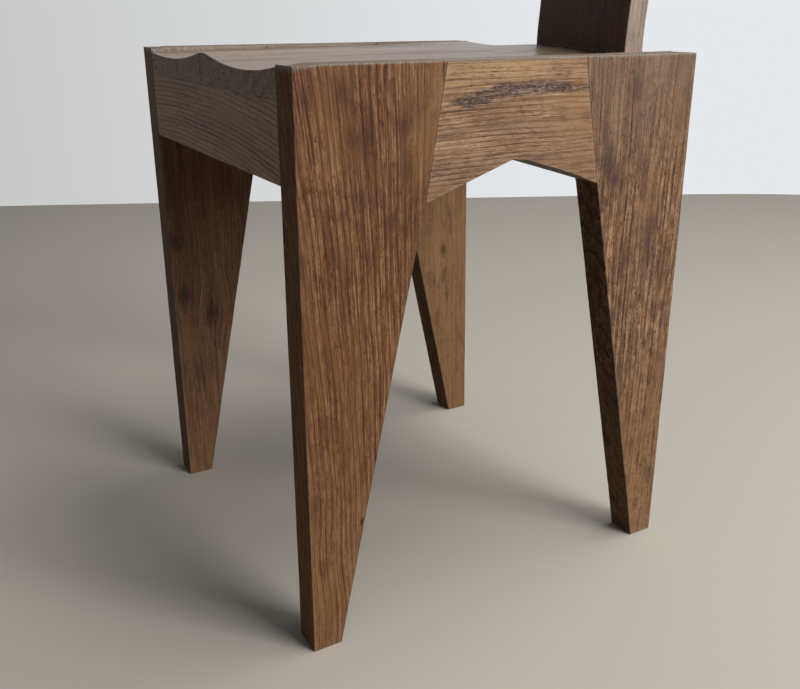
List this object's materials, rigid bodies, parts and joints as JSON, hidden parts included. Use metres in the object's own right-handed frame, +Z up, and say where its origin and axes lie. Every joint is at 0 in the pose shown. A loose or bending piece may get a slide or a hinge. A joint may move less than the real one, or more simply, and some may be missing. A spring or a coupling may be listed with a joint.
{
  "type": "wooden chair",
  "caption": "Armless wooden side chair with board side frames, tapered legs, arched side rails, a carved board seat and a narrow back board set off the middle.",
  "frame": {"origin": "on the floor, below the middle of the whole chair's bounding box", "axes": "+Z up, -Y towards the front of the seat, +X towards the sitter's left"},
  "size_m": [0.358, 0.3804, 0.78],
  "materials": {
    "leg_wood": "oiled dark walnut-stained hardwood, vertical grain with open pores, worn pale along the arrises",
    "side_rail_wood": "oiled hardwood, lighter tan with level grain; the left rail has a dark torn-grain patch",
    "cross_rail_wood": "oiled dark hardwood with bold arched grain",
    "seat_wood": "oiled hardwood polished by use to a grey-brown sheen, end grain at front and rear",
    "back_wood": "oiled dark hardwood, satin",
    "dowel_wood": "plain turned beech, bare"
  },
  "bodies": {
    "root": {"front_leg_left": "leg_wood", "front_leg_right": "leg_wood", "rear_leg_left": "leg_wood", "rear_leg_right": "leg_wood", "side_rail_left": "side_rail_wood", "side_rail_right": "side_rail_wood", "front_rail": "cross_rail_wood", "rear_rail": "cross_rail_wood", "seat_board_1": "seat_wood", "seat_board_2": "seat_wood", "seat_board_3": "seat_wood", "seat_board_4": "seat_wood", "back_board": "back_wood", "frame_dowels": "dowel_wood", "seat_dowels": "dowel_wood"}
  },
  "joints": []
}
